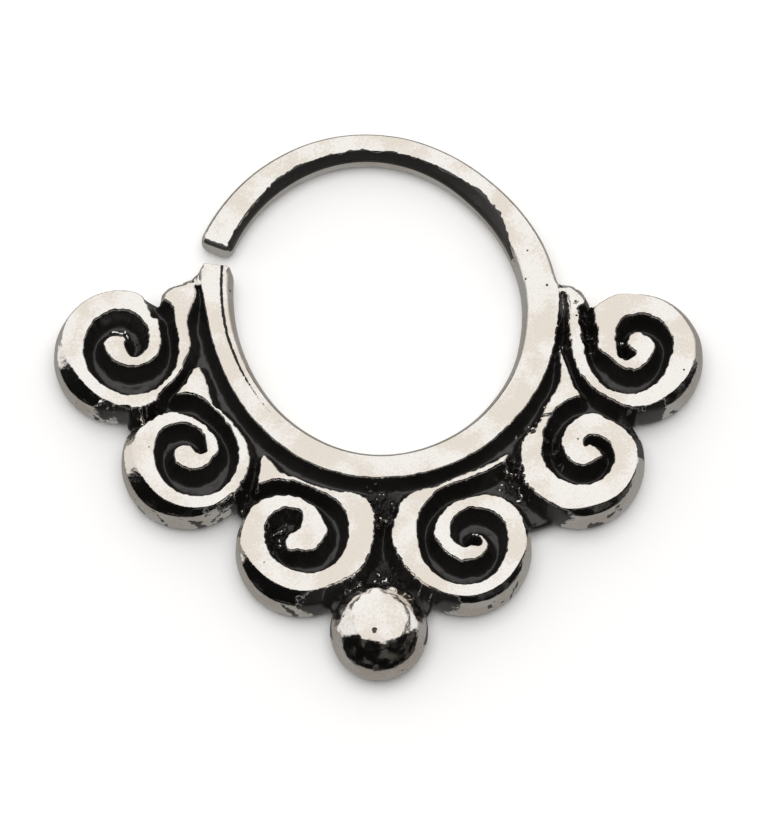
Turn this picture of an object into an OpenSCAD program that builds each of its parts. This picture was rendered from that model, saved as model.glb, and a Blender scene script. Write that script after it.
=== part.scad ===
// Septum ring, cast in one piece: an open hoop that carries a frieze of six raised scrolls and a ball.
// It lies on its flat back. The face looks along +Z and the ball points along -Y.
// The origin is the middle of the hoop's opening, on the plane of the back.

/* [Hoop] */
// Clear width of the hoop's opening
opening_d = 10; // [8.5:0.25:12]
// Width of the wire, seen from the front
wire_w = 1.1; // [0.9:0.05:1.4]
// Thickness of the wire where it carries the frieze
wire_h = 1.6; // [1.4:0.05:1.9]
// Rounding of the wire's long edges
wire_round = 0.3; // [0.15:0.05:0.4]
// Gap between the two ends of the wire
gap_w = 0.7; // [0.4:0.05:2]
// Direction of the gap, anticlockwise from the right
gap_turn = 161; // [150:1:165]

/* [Frieze] */
// Radius of the lobe that each scroll sits on
scroll_r = 2.3; // [2.1:0.05:2.5]
// Clearance between the wire and the lobes
groove_w = 0.6; // [0.4:0.05:0.9]
// Height of the scrolls' crests above the back
crest_h = 2; // [1.7:0.05:2.4]
// Height of the groove floors above the back
floor_h = 1.15; // [0.9:0.05:1.3]
// Height of the line where a lobe is widest
waist_h = 0.6; // [0.4:0.05:0.8]
// How far a lobe's rim rolls in from its widest line to its crest
rim_in = 0.3; // [0.15:0.05:0.45]
// How far the edge of the back is drawn in from the widest line
back_in = 0.15; // [0.05:0.05:0.25]

/* [Ball] */
// Diameter of the ball
ball_d = 3.4; // [2.8:0.1:4]
// Height of the ball's centre above the back
ball_h = 0.9; // [0.6:0.05:1.2]
// Sideways place of the ball, from the middle of the opening
ball_x = 0.05; // [-0.3:0.05:0.3]
// Clearance between the ball and the nearer of the two lobes beside it, which the web fills
ball_gap = 0.02; // [0:0.02:0.3]

/* [Hidden] */

opening_r = opening_d / 2;
// Radius of the arc that the middles of the lobes follow
lane_r = opening_r + wire_w + groove_w + scroll_r;
// Angle between two neighbouring points of a ridge, and of the hoop
ridge_step = 12;
hoop_step = 6;
// Points round one corner of the wire, and bands down a lobe's rolled rim
corner_points = 3;
rim_bands = 5;

// Sections of the hoop, anticlockwise from the fixed end:
// turn, inner side in opening radii, width in wire widths, thickness in wire thicknesses
hoop_sections = [
    [165, 1.04, 1.10, 1.00],
    [195, 0.98, 0.98, 1.00],
    [225, 1.00, 0.97, 1.00],
    [255, 1.06, 0.95, 1.00],
    [285, 1.08, 0.95, 1.00],
    [315, 1.06, 1.03, 1.00],
    [345, 1.01, 1.19, 1.00],
    [375, 1.00, 1.13, 0.92],
    [405, 0.98, 1.02, 0.82],
    [435, 1.03, 0.93, 0.78],
    [465, 1.08, 0.91, 0.78],
    [495, 1.09, 0.94, 0.78],
    [525, 1.10, 1.00, 0.80],
];

// Places of the lobes, in lobe radii: along the lane from the ball's side, out from the lane,
// then the turn of the scroll's first line from the outward direction, and the eye of the scroll
lobe_places = [
    [-5.38,  0.05, 168, [0.16, 0.13]],
    [-3.38, -0.14, 139, [0.04, 0.08]],
    [-1.12,  0.10, 106, [-0.05, 0.16]],
    [ 1.33,  0.17,  71, [0.06, 0.11]],
    [ 3.51,  0.03,  39, [0.18, 0.13]],
    [ 5.37,  0.11,  12, [0.00, 0.16]],
];

// Corners of the two tabs, where the frieze leaves the hoop beyond its end lobes:
// turn past the lobe's own direction, reach past the wire in lobe radii
left_tab = [[20, -0.20], [16.5, 0.20], [14.5, 0.48], [11.5, 0.58]];
right_tab = [[20, -0.20], [17, 0.17], [16, 0.38], [13.5, 0.51], [10, 0.57]];

// Ridges of the scrolls, from the tail at the hoop to the eye:
// turn, inner edge and outer edge in lobe radii; an outer edge past the rim ends at the rim
past = 1.2;
scroll_1 = [
    [-56, 0.86, 1.06], [-48, 0.87, 1.33], [-40, 0.84, 1.28], [-30, 0.77, 1.02], [0, 0.72, 0.90],
    [30, 0.76, 0.87], [60, 0.80, 0.91], [75, 0.81, 1.00], [95, 0.82, past], [150, 0.75, past],
    [210, 0.66, past], [250, 0.57, past], [270, 0.49, 1.00], [285, 0.44, 0.80], [300, 0.38, 0.60],
    [330, 0.30, 0.50], [360, 0.26, 0.47], [420, 0.20, 0.38], [480, 0.14, 0.36], [540, 0.10, 0.40],
    [575, 0.12, 0.20],
];
scroll_2 = [
    [-104, 0.91, 0.93], [-94, 0.90, 1.08], [-85, 0.89, 1.34], [-78, 0.84, 1.12], [-70, 0.79, 0.88],
    [-50, 0.72, 0.78], [-30, 0.70, 0.78], [0, 0.72, 0.88], [30, 0.75, 0.93], [45, 0.76, 0.98],
    [60, 0.76, 1.10], [75, 0.73, past], [150, 0.58, past], [185, 0.55, past], [200, 0.55, 1.00],
    [212, 0.54, 0.80], [240, 0.48, 0.70], [270, 0.40, 0.55], [300, 0.32, 0.46], [330, 0.27, 0.43],
    [360, 0.22, 0.42], [390, 0, 0.35], [450, 0, 0.30], [510, 0, 0.27], [540, 0, 0.25], [570, 0, 0.16],
];
scroll_3 = [
    [-129, 0.97, 0.99], [-120, 0.93, 1.15], [-114, 0.90, 1.33], [-107, 0.86, 1.03], [-95, 0.81, 0.88],
    [-67, 0.72, 0.78], [-46, 0.74, 0.90], [-33, 0.76, 1.10], [-21, 0.77, 1.17], [0, 0.75, 1.14],
    [30, 0.74, 1.10], [60, 0.70, 1.00], [75, 0.66, 1.12], [90, 0.62, past], [120, 0.56, past],
    [175, 0.51, past], [190, 0.50, 1.00], [210, 0.49, 0.82], [240, 0.43, 0.68], [270, 0.34, 0.56],
    [300, 0, 0.47], [330, 0, 0.43], [360, 0, 0.42], [420, 0, 0.34], [480, 0, 0.30], [520, 0, 0.18],
];
scroll_4 = [
    [66, 1.26, 1.33], [72, 1.09, 1.24], [83, 0.98, 1.04], [96, 0.90, 0.95], [112, 0.86, 0.90],
    [125, 0.85, 0.93], [138, 0.84, 1.06], [150, 0.84, 1.15], [165, 0.83, 1.17], [180, 0.80, 1.18],
    [210, 0.80, 1.09], [225, 0.80, 1.04], [240, 0.80, 1.00], [255, 0.79, 1.12], [270, 0.77, past],
    [300, 0.70, past], [345, 0.58, past], [365, 0.56, 1.00], [380, 0.54, 0.84], [420, 0.46, 0.73],
    [450, 0.42, 0.62], [480, 0.38, 0.56], [540, 0.31, 0.52], [600, 0.20, 0.43], [660, 0.17, 0.36],
    [700, 0.15, 0.26], [720, 0.12, 0.17],
];
scroll_5 = [
    [104, 0.83, 0.86], [108, 0.84, 1.07], [111, 0.84, 1.40], [115, 0.84, 1.15], [125, 0.83, 1.02],
    [143, 0.80, 0.93], [160, 0.77, 0.92], [173, 0.76, 1.05], [190, 0.77, 1.08], [209, 0.73, 1.15],
    [225, 0.69, 1.10], [240, 0.64, 1.08], [255, 0.60, 1.15], [270, 0.56, past], [330, 0.37, 1.10],
    [360, 0.29, 0.95], [378, 0.27, 0.75], [390, 0.26, 0.58], [450, 0.22, 0.55], [510, 0.15, 0.51],
    [540, 0, 0.45], [570, 0, 0.38], [600, 0, 0.33], [630, 0, 0.22], [690, 0, 0.15],
];
scroll_6 = [
    [132, 1.12, 1.30], [140, 0.98, 1.40], [150, 0.98, 1.26], [165, 0.91, 1.12], [180, 0.84, 1.02],
    [210, 0.83, 1.00], [240, 0.85, 0.99], [260, 0.81, 1.03], [275, 0.77, 1.10], [290, 0.70, past],
    [330, 0.53, past], [360, 0.53, past], [450, 0.45, past], [475, 0.45, 1.00], [495, 0.41, 0.86],
    [515, 0.37, 0.74], [540, 0.33, 0.60], [600, 0.30, 0.46], [630, 0.18, 0.40], [660, 0, 0.32],
    [690, 0, 0.30], [720, 0, 0.23], [780, 0, 0.16], [840, 0, 0.20],
];
scrolls = [scroll_1, scroll_2, scroll_3, scroll_4, scroll_5, scroll_6];

// Which two rows of a table a turn lies between
function row_before(table, turn, i = 0) =
    i >= len(table) - 2 || turn < table[i + 1][0] ? i : row_before(table, turn, i + 1);

// A table's row at any turn, on a smooth curve through its rows
function row_at(table, turn) =
    let (
        i = row_before(table, turn),
        a = table[max(i - 1, 0)],
        b = table[i],
        c = table[i + 1],
        d = table[min(i + 2, len(table) - 1)],
        span = c[0] - b[0],
        u = (turn - b[0]) / span,
        leave = (c - a) * span / (c[0] - a[0]),
        arrive = (d - b) * span / (d[0] - b[0])
    )
    b * (2 * pow(u, 3) - 3 * pow(u, 2) + 1) + leave * (pow(u, 3) - 2 * pow(u, 2) + u)
    + c * (3 * pow(u, 2) - 2 * pow(u, 3)) + arrive * (pow(u, 3) - pow(u, 2));

// A table's turns from its first row to its last
function turns(table, step) =
    let (
        first = table[0][0],
        last = table[len(table) - 1][0],
        count = ceil((last - first) / step)
    )
    [for (k = [0 : count]) first + (last - first) * k / count];

function polar(r, angle) = [r * cos(angle), r * sin(angle)];

// Outline of one ridge about its eye; way is -1 for a scroll that winds clockwise
function ridge_outline(table, way) =
    let (
        rows = [for (t = turns(table, ridge_step)) row_at(table, t)],
        last = len(rows) - 1,
        thin = 0.08,
        inner = [for (row = rows) if (row[1] > thin) polar(row[1] * scroll_r, way * row[0])],
        outer = [for (k = [last : -1 : 0]) polar(rows[k][2] * scroll_r, way * rows[k][0])]
    )
    concat(inner, rows[last][1] > thin ? [] : [[0, 0]], outer);

// A length along the lane, turned into a direction from the middle of the hoop
function lane_turn(along) = 270 + along / lane_r * 180 / PI;

function lobe_turn(i) = lane_turn(lobe_places[i][0] * scroll_r);
function lobe_middle(i) = polar(lane_r + lobe_places[i][1] * scroll_r, lobe_turn(i));

// The ball hangs below the two lobes beside it, clear of the nearer one
ball_reach = scroll_r + ball_d / 2 + ball_gap;
ball_middle = [ball_x, min([for (i = [2, 3])
    let (m = lobe_middle(i)) m[1] - sqrt(max(pow(ball_reach, 2) - pow(m[0] - ball_x, 2), 0))])];

// The free end stops short of the fixed end by the gap
fixed_turn = gap_turn + gap_w / 2 / (opening_r + wire_w / 2) * 180 / PI;
free_turn = fixed_turn + 360 - gap_w / (opening_r + wire_w / 2) * 180 / PI;

// One section of the wire: inner side, width and thickness, as a closed run of [reach, height]
function wire_section(turn) =
    let (
        row = row_at(hoop_sections, turn),
        inner = row[1] * opening_r,
        w = row[2] * wire_w,
        h = row[3] * wire_h,
        corners = [[w - wire_round, h - wire_round], [wire_round, h - wire_round],
                   [wire_round, wire_round], [w - wire_round, wire_round]]
    )
    [for (c = [0 : 3]) for (k = [0 : corner_points])
        [inner, 0] + corners[c] + polar(wire_round, 90 * c + 90 * k / corner_points)];

module hoop() {
    count = ceil((free_turn - fixed_turn) / hoop_step);
    sections = [for (k = [0 : count])
        let (turn = fixed_turn + (free_turn - fixed_turn) * k / count)
        [for (p = wire_section(turn)) [p[0] * cos(turn), p[0] * sin(turn), p[1]]]];
    ring = len(sections[0]);
    sides = [for (k = [0 : count - 1]) for (j = [0 : ring - 1])
        [k * ring + j, k * ring + (j + 1) % ring, (k + 1) * ring + (j + 1) % ring, (k + 1) * ring + j]];
    fixed_end = [for (j = [ring - 1 : -1 : 0]) j];
    free_end = [for (j = [0 : ring - 1]) count * ring + j];
    polyhedron([for (section = sections) each section], concat(sides, [fixed_end, free_end]));
}

// A round puck with a flat back, widest at the waist, whose rim rolls in up to the crest
module lobe() {
    rim = [for (k = [0 : rim_bands])
        [scroll_r - rim_in * (1 - cos(90 * k / rim_bands)),
         waist_h + (crest_h - waist_h) * sin(90 * k / rim_bands)]];
    rotate_extrude($fn = 60)
        polygon(concat([[0, 0], [scroll_r - back_in, 0]], rim, [[0, crest_h]]));
}

function reverse(list) = [for (k = [len(list) - 1 : -1 : 0]) list[k]];

function tab_corners(table, turn, way) =
    [for (row = table) polar(opening_r + wire_w + row[1] * scroll_r, turn + way * row[0])];

// Ground plan of the metal that joins the hoop, the lobes and the ball
module web_plan() {
    // How far the web's edge stands out of the line between two neighbours
    bulge = 0.14 * scroll_r;
    ball_bulge = 0.3 * scroll_r;
    middles = [for (i = [0 : 5]) lobe_middle(i)];
    between = [for (i = [0 : 4])
        let (mid = (middles[i] + middles[i + 1]) / 2) mid * (1 + bulge / norm(mid))];
    beside_ball = [for (i = [2, 3])
        (middles[i] + ball_middle) / 2 + [sign(i - 2.5), -1] / sqrt(2) * ball_bulge];
    outer = [middles[0], between[0], middles[1], between[1], middles[2], beside_ball[0],
             ball_middle, beside_ball[1], middles[3], between[3], middles[4], between[4], middles[5]];
    hoop_side = [for (turn = [lobe_turn(5) : -hoop_step : lobe_turn(0)])
        let (row = row_at(hoop_sections, turn)) polar(row[1] * opening_r + wire_w / 2, turn)];
    polygon(concat(tab_corners(left_tab, lobe_turn(0), -1), outer,
        reverse(tab_corners(right_tab, lobe_turn(5), 1)), hoop_side));
}

// The six ridges in plan, with the islands and tabs that their tails make
module crest_plan() {
    for (i = [0 : 5])
        translate(lobe_middle(i))
            rotate(lobe_turn(i) + lobe_places[i][2])
                translate(lobe_places[i][3] * scroll_r)
                    polygon(ridge_outline(scrolls[i], i < 3 ? -1 : 1));
}

module frieze() {
    difference() {
        union() {
            for (i = [0 : 5]) translate(lobe_middle(i)) lobe();
            linear_extrude(crest_h) web_plan();
        }
        translate([0, 0, floor_h]) linear_extrude(crest_h) difference() {
            square(4 * (lane_r + 2 * scroll_r), center = true);
            crest_plan();
        }
    }
}

module ball() {
    translate([ball_middle[0], ball_middle[1], ball_h]) intersection() {
        sphere(d = ball_d, $fn = 60);
        translate([-ball_d, -ball_d, -ball_h]) cube(2 * ball_d);
    }
}

module septum_ring() {
    color("silver") union() {
        hoop();
        frieze();
        ball();
    }
}

septum_ring();
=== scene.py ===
# Septum ring in antiqued silver: an open hoop, a frieze of six scrolls and a ball, cast in one piece.
# It lies on its back on a pale floor, with its face along +Z and its ball along -Y.
import math
import bpy
import numpy as np
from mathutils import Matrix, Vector, geometry


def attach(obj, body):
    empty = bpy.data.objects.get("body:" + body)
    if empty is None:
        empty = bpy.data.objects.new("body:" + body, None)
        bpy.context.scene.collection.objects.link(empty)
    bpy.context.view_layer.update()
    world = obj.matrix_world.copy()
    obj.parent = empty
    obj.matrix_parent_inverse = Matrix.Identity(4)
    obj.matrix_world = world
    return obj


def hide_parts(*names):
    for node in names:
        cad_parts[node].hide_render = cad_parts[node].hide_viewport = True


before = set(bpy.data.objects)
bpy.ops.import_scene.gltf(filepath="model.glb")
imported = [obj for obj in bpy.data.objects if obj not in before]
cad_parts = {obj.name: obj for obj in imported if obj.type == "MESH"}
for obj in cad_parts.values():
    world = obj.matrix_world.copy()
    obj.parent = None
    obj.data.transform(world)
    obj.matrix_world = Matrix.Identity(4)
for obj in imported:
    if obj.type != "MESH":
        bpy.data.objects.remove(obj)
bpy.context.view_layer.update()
mm = 0.001  # shapes are worked out in millimetres and written in metres
deep = 0.3  # a place's depth inside bare metal is kept between minus this, well into tarnish, and this
print("frame loaded")


# Smooth helpers

def ease(u):  # 0 below 0, 1 above 1, and 3u^2 - 2u^3 between
    u = np.clip(u, 0.0, 1.0)
    return u * u * (3.0 - 2.0 * u)


def smoothMax(a, b, blend):  # the larger of two fields, filled in by blend / 4 where they meet
    gap = np.maximum(blend - np.abs(a - b), 0.0) / blend
    return np.maximum(a, b) + gap * gap * blend / 4.0


def smoothMin(a, b, blend):
    return -smoothMax(-a, -b, blend)


def smoothRows(rows, at):
    # a table read at any first value: cubic arcs through its rows, each with the slope
    # (next - last) / (next first - last first)
    rows = np.asarray(rows, float)
    key, values = rows[:, 0], rows[:, 1:]
    slope = np.gradient(values, key, axis=0)
    i = np.clip(np.searchsorted(key, at, side="right") - 1, 0, len(key) - 2)
    span = (key[i + 1] - key[i])[:, None]
    u = np.clip((at - key[i])[:, None] / span, 0.0, 1.0)
    start = (2 * u**3 - 3 * u**2 + 1) * values[i] + (u**3 - 2 * u**2 + u) * span * slope[i]
    end = (3 * u**2 - 2 * u**3) * values[i + 1] + (u**3 - u**2) * span * slope[i + 1]
    return start + end


def unevenness(x, y, size, seed):
    # random heights from -1 to 1 on a lattice of that size, joined by eased blends
    table = np.random.default_rng(seed).uniform(-1.0, 1.0, (64, 64))
    u, v = x / size, y / size
    i, j = np.floor(u).astype(int), np.floor(v).astype(int)
    fu, fv = ease(u - i), ease(v - j)
    corner = [table[(i + a) % 64, (j + b) % 64] for a in (0, 1) for b in (0, 1)]
    near = corner[0] * (1 - fv) + corner[1] * fv
    far = corner[2] * (1 - fv) + corner[3] * fv
    return near * (1 - fu) + far * fu


def outlineDepth(x, y, loop):
    # signed distance to a closed outline: least distance to its sides, positive inside,
    # where a line to the right crosses the outline an odd number of times
    loop = np.asarray(loop, float)
    ax, ay = loop[:, 0], loop[:, 1]
    bx, by = np.roll(ax, -1), np.roll(ay, -1)
    dx, dy = bx - ax, by - ay
    px, py = x[:, None] - ax, y[:, None] - ay
    u = np.clip((px * dx + py * dy) / (dx * dx + dy * dy), 0.0, 1.0)
    away = np.sqrt(np.min((px - u * dx) ** 2 + (py - u * dy) ** 2, axis=1))
    straddles = (ay > y[:, None]) != (by > y[:, None])
    safe = np.where(dy == 0.0, 1.0, dy)
    crosses = straddles & (px < dx / safe * py)
    return np.where(crosses.sum(axis=1) % 2 == 1, away, -away)


# Hoop

hoop = {
    "fixedEnd": 164.6,   # turns of the two ends, anticlockwise from the right, in degrees
    "freeEnd": 519.0,
    "fixedSkew": 1.45,   # how much further round the fixed end's outer side starts, degrees per mm
    "innerRoll": 0.3,    # width of the rounding along the opening
    "outerRoll": 0.18,
    "endRoll": 0.08,
    "endRound": 0.25,    # rounding of the ends' corners, seen from the front
    "edge": 0.0,         # cosine of the arc that the rim keeps
    "shoulder": 0.5,     # share of the rim's height where a slanted flat meets the steep side
    "waist": 0.6,        # height where its sides are widest
    "lineIn": 0.42,      # how far in from the opening a fine dark line runs down the fixed end,
    "lineHalf": 0.05,    # half its width, and the turn where it ends
    "lineStop": 240.0,
    "bareWall": 0.14,    # how far down its outer wall the hoop is bare beside the right tab
    "bareTurns": (350.0, 378.0),
    "freeFrom": 490.0,   # past this turn the nearer end is the free one,
    "endDark": 0.14,     # which has a dark strip of this width
    "backIn": 0.16,      # how far the back is drawn in from the waist
    # turn, height of the face
    "face": [[160, 1.60], [345, 1.60], [375, 1.48], [405, 1.34], [435, 1.27], [521, 1.27]],
    # turn, width of the dark slanted flat along the opening
    "flat": [[160, 0.0], [345, 0.0], [365, 0.04], [383, 0.12], [393, 0.36], [405, 0.48], [420, 0.44],
             [435, 0.36], [450, 0.32], [480, 0.33], [500, 0.26], [521, 0.20]],
    # turn, inner radius, outer radius
    "plan": [
        [160, 5.24, 6.46], [165, 5.15, 6.38], [172, 5.05, 6.18], [180, 4.97, 6.00], [190, 4.92, 5.90],
        [200, 4.90, 5.88], [215, 4.95, 5.96], [230, 5.08, 6.12], [245, 5.22, 6.30], [260, 5.36, 6.40],
        [275, 5.42, 6.44], [290, 5.40, 6.46], [305, 5.36, 6.46], [320, 5.27, 6.42], [335, 5.19, 6.40],
        [350, 5.08, 6.33], [365, 5.03, 6.34], [380, 4.97, 6.27], [395, 4.96, 6.16], [410, 5.00, 6.12],
        [425, 5.14, 6.19], [440, 5.29, 6.31], [455, 5.41, 6.42], [470, 5.46, 6.51], [485, 5.46, 6.56],
        [500, 5.45, 6.60], [521, 5.44, 6.66],
    ],
}


def hoopFields(x, y):
    # depth from the inner side, from the outer side and from the nearer end (turn left to it times
    # radius), and the turn
    gapTurn = (hoop["fixedEnd"] + hoop["freeEnd"] - 360.0) / 2.0
    turn = (np.degrees(np.arctan2(y, x)) - gapTurn) % 360.0 + gapTurn
    radius = np.hypot(x, y)
    sides = smoothRows(hoop["plan"], turn)
    fixedEnd = hoop["fixedEnd"] + hoop["fixedSkew"] * (radius - 5.2)
    ends = np.radians(np.minimum(turn - fixedEnd, hoop["freeEnd"] - turn)) * radius
    return radius - sides[:, 0], sides[:, 1] - radius, ends, turn


# Frieze

lobes = {
    "radius": 2.3,
    "middles": [(-8.93, -1.79), (-6.57, -5.63), (-2.60, -8.81),
                (3.06, -8.78), (6.99, -5.61), (9.03, -1.82)],
    "roll": (0.2, 0.8),  # least and most that the rim falls in from the waist to the crest
    "slope": 1.05,       # rise of the rim's slant over its width; below it the side is steep,
    "shoulder": (0.2, 0.7),  # for at least and at most this share of the rim's height,
    "farShoulder": 0.3,  # and for this share on the lobe's far side
    "waist": 0.65,
    "edge": 0.3,         # cosine of the arc that the rim keeps: 0 is a full round, more is a sharper edge
    "backIn": 0.2,       # how far the back is drawn in from the waist
}

ball = {"middle": (0.07, -11.76), "radius": 1.7, "height": 0.9, "backIn": 0.258, "dents": 0.05}

# the metal between the hoop, the lobes and the ball: its corners on the outside of the frieze
web = {
    "leftTab": [(-6.02, 1.42), (-6.22, 1.30), (-6.36, 1.12), (-6.50, 0.94), (-6.84, 0.81), (-7.19, 0.67),
                (-7.34, 0.50), (-7.52, 0.28), (-7.58, 0.05)],
    "notches": [(-8.66, -4.32), (-4.62, -7.66), (-1.53, -11.12),
                (1.77, -11.12), (6.11, -7.80), (9.00, -4.16)],
    "rightTab": [(7.50, -0.05), (7.32, 0.19), (7.18, 0.46), (6.96, 0.68), (6.75, 0.75), (6.42, 0.80),
                 (6.25, 0.92), (6.10, 1.15)],
    "darkReach": [0.9, 1.0, 0.95, 1.2, 0.8, 1.4],  # how far the tarnish reaches round each notch
    "fillet": 0.18,
}

# scroll ridges: turn from the tail at the hoop to the eye, then inner and outer edge of the flat
# crest in lobe radii; between the two rim turns the ridge falls off to the rim instead of to a groove;
# a knob is a round end in the eye: its middle and its radius
scrolls = [
    {"eye": (-8.54, -1.62), "way": -1, "rim": (62, 284), "rows": [
        [-62, 0.92, 0.99], [-59, 0.885, 1.08], [-56, 0.865, 1.17], [-52, 0.865, 1.28],
        [-47, 0.865, 1.36], [-40, 0.84, 1.28], [-30, 0.77, 1.02], [0, 0.72, 0.90], [30, 0.76, 0.87],
        [60, 0.80, 0.91], [75, 0.81, 1.00], [90, 0.81, 1.02], [120, 0.78, 0.96], [150, 0.75, 0.94],
        [180, 0.71, 1.03], [210, 0.66, 1.02], [225, 0.628, 1.0], [240, 0.59, 0.94], [255, 0.543, 0.885],
        [270, 0.49, 0.82], [283, 0.44, 0.76], [289, 0.42, 0.69], [295, 0.40, 0.63], [303, 0.37, 0.55],
        [311, 0.35, 0.53], [316, 0.34, 0.57], [324, 0.32, 0.52], [338, 0.295, 0.475],
        [360, 0.267, 0.453], [379, 0.24, 0.44], [393, 0.228, 0.42], [414, 0.222, 0.39],
        [450, 0.193, 0.37], [480, 0.135, 0.375], [508, 0.11, 0.38], [526, 0.10, 0.403],
        [540, 0.096, 0.412], [548, 0.094, 0.395], [556, 0.093, 0.36], [567, 0.094, 0.29],
        [577, 0.10, 0.21], [583, 0.125, 0.16]]},
    {"eye": (-6.46, -5.53), "way": -1, "rim": (45, 207), "knob": (-6.46, -5.55, 0.11), "rows": [
        [-104, 0.91, 0.93], [-94, 0.90, 1.08], [-85, 0.89, 1.34], [-78, 0.84, 1.12], [-70, 0.79, 0.88],
        [-50, 0.72, 0.78], [-30, 0.70, 0.78], [0, 0.72, 0.88], [30, 0.75, 0.93], [60, 0.76, 0.94],
        [90, 0.70, 0.90], [120, 0.64, 0.85], [150, 0.58, 0.82], [180, 0.55, 0.87], [200, 0.55, 0.85],
        [212, 0.54, 0.80], [240, 0.485, 0.70], [270, 0.405, 0.55], [300, 0.34, 0.46],
        [330, 0.275, 0.43], [350, 0.25, 0.43], [366, 0.24, 0.40], [378, 0.12, 0.355], [385, 0, 0.345],
        [402, 0, 0.343], [420, 0, 0.333], [450, 0, 0.30], [485, 0, 0.276], [498, 0, 0.292],
        [508, 0, 0.275], [530, 0, 0.265], [542, 0, 0.243], [556, 0, 0.20], [574, 0, 0.15],
        [598, 0, 0.107], [630, 0, 0.073], [675, 0, 0.057], [736, 0, 0.06]]},
    {"eye": (-2.71, -8.49), "way": -1, "rim": (62, 202), "knob": (-2.70, -8.51, 0.12), "rows": [
        [-129, 0.97, 0.99], [-120, 0.93, 1.15], [-114, 0.90, 1.33], [-107, 0.86, 1.03],
        [-95, 0.81, 0.88], [-67, 0.72, 0.78], [-46, 0.74, 0.90], [-33, 0.76, 1.10], [-21, 0.77, 1.17],
        [0, 0.75, 1.14], [30, 0.74, 1.10], [60, 0.70, 0.97], [90, 0.62, 0.92], [120, 0.56, 0.86],
        [150, 0.53, 0.85], [180, 0.50, 0.89], [195, 0.495, 0.86], [210, 0.49, 0.81], [234, 0.45, 0.70],
        [250, 0.405, 0.63], [265, 0.36, 0.57], [275, 0.325, 0.54], [283, 0.27, 0.51],
        [289, 0.12, 0.495], [294, 0, 0.485], [303, 0, 0.465], [317, 0, 0.43], [335, 0, 0.42],
        [360, 0, 0.43], [374, 0, 0.395], [392, 0, 0.371], [406, 0, 0.374], [425, 0, 0.33],
        [450, 0, 0.284], [479, 0, 0.316], [496, 0, 0.286], [509, 0, 0.217], [525, 0, 0.157],
        [547, 0, 0.084], [598, 0, 0.056], [648, 0, 0.07]]},
    {"eye": (3.23, -8.60), "way": 1, "rim": (240, 376), "rows": [
        [66, 1.27, 1.41], [72, 1.10, 1.24], [80, 0.99, 1.10], [90, 0.90, 1.00], [112, 0.86, 0.92],
        [125, 0.85, 0.93], [138, 0.84, 1.06], [150, 0.84, 1.15], [165, 0.83, 1.17], [180, 0.80, 1.18],
        [210, 0.80, 1.09], [225, 0.80, 1.04], [240, 0.80, 1.00], [270, 0.77, 0.96], [300, 0.70, 0.90],
        [330, 0.61, 0.85], [360, 0.565, 0.87], [380, 0.55, 0.84], [420, 0.465, 0.73], [450, 0.43, 0.60],
        [480, 0.372, 0.57], [507, 0.352, 0.552], [528, 0.308, 0.548], [543, 0.289, 0.54],
        [554, 0.27, 0.50], [565, 0.252, 0.465], [588, 0.216, 0.435], [612, 0.19, 0.428],
        [630, 0.158, 0.392], [641, 0.16, 0.385], [653, 0.175, 0.37], [668, 0.198, 0.343],
        [683, 0.21, 0.325], [692, 0.212, 0.30], [701, 0.19, 0.25], [710, 0.145, 0.205],
        [717, 0.11, 0.18], [725, 0.07, 0.145], [735, 0.045, 0.10], [750, 0.03, 0.06]]},
    {"eye": (7.47, -5.42), "way": 1, "rim": (240, 380), "knob": (7.45, -5.46, 0.10), "rows": [
        [103, 0.84, 0.87], [106, 0.84, 1.05], [107.5, 0.84, 1.62], [109.5, 0.84, 1.40],
        [112, 0.84, 1.26], [116, 0.84, 1.14], [122, 0.83, 1.05], [128, 0.83, 1.01], [143, 0.80, 0.93],
        [160, 0.77, 0.92], [173, 0.76, 1.05], [190, 0.77, 1.08], [209, 0.73, 1.15], [225, 0.69, 1.10],
        [240, 0.64, 1.08], [270, 0.56, 0.92], [300, 0.46, 0.83], [330, 0.37, 0.73], [360, 0.30, 0.66],
        [390, 0.25, 0.57], [420, 0.21, 0.52], [450, 0.205, 0.55], [480, 0.18, 0.53], [510, 0.145, 0.49],
        [524, 0.12, 0.475], [536, 0, 0.455], [570, 0, 0.395], [600, 0, 0.325], [630, 0, 0.24],
        [650, 0, 0.205], [670, 0, 0.20], [682, 0, 0.19], [692, 0, 0.145], [702, 0, 0.105],
        [720, 0, 0.06], [780, 0, 0.035], [810, 0, 0.035], [840, 0, 0.055], [870, 0, 0.085],
        [880, 0, 0.10]]},
    {"eye": (9.06, -1.59), "way": 1, "rim": (262, 500), "knob": (9.055, -1.545, 0.345), "rows": [
        [134, 1.15, 1.28], [137, 1.09, 1.36], [141, 1.035, 1.46], [142.5, 1.04, 1.35],
        [144.5, 1.045, 1.32], [147, 1.045, 1.26], [150, 1.035, 1.205], [154.5, 0.99, 1.13],
        [160, 0.945, 1.08], [172, 0.865, 1.045], [180, 0.83, 1.02], [210, 0.83, 1.00],
        [240, 0.85, 0.99], [270, 0.79, 1.03], [300, 0.66, 0.94], [330, 0.55, 0.90], [360, 0.53, 0.85],
        [390, 0.50, 0.79], [420, 0.47, 0.76], [450, 0.45, 0.76], [480, 0.44, 0.86], [490, 0.42, 0.92],
        [497, 0.41, 0.92], [502, 0.40, 0.84], [507, 0.385, 0.775], [512, 0.37, 0.73],
        [518, 0.355, 0.655], [531, 0.335, 0.61], [547, 0.335, 0.60], [570, 0.345, 0.48],
        [600, 0.31, 0.46], [613, 0.23, 0.445], [622, 0.18, 0.43], [629, 0, 0.42], [645, 0, 0.37],
        [660, 0, 0.33], [690, 0, 0.275], [720, 0, 0.245], [750, 0, 0.20], [770, 0, 0.165]]},
]

# joins between the hoop's face and the two tabs, over the tips of the grooves: middle and radius;
# near them the crests come down to the hoop's face
joins = [((-6.35, 1.30), 0.66), ((6.42, 0.88), 0.50)]

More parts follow.
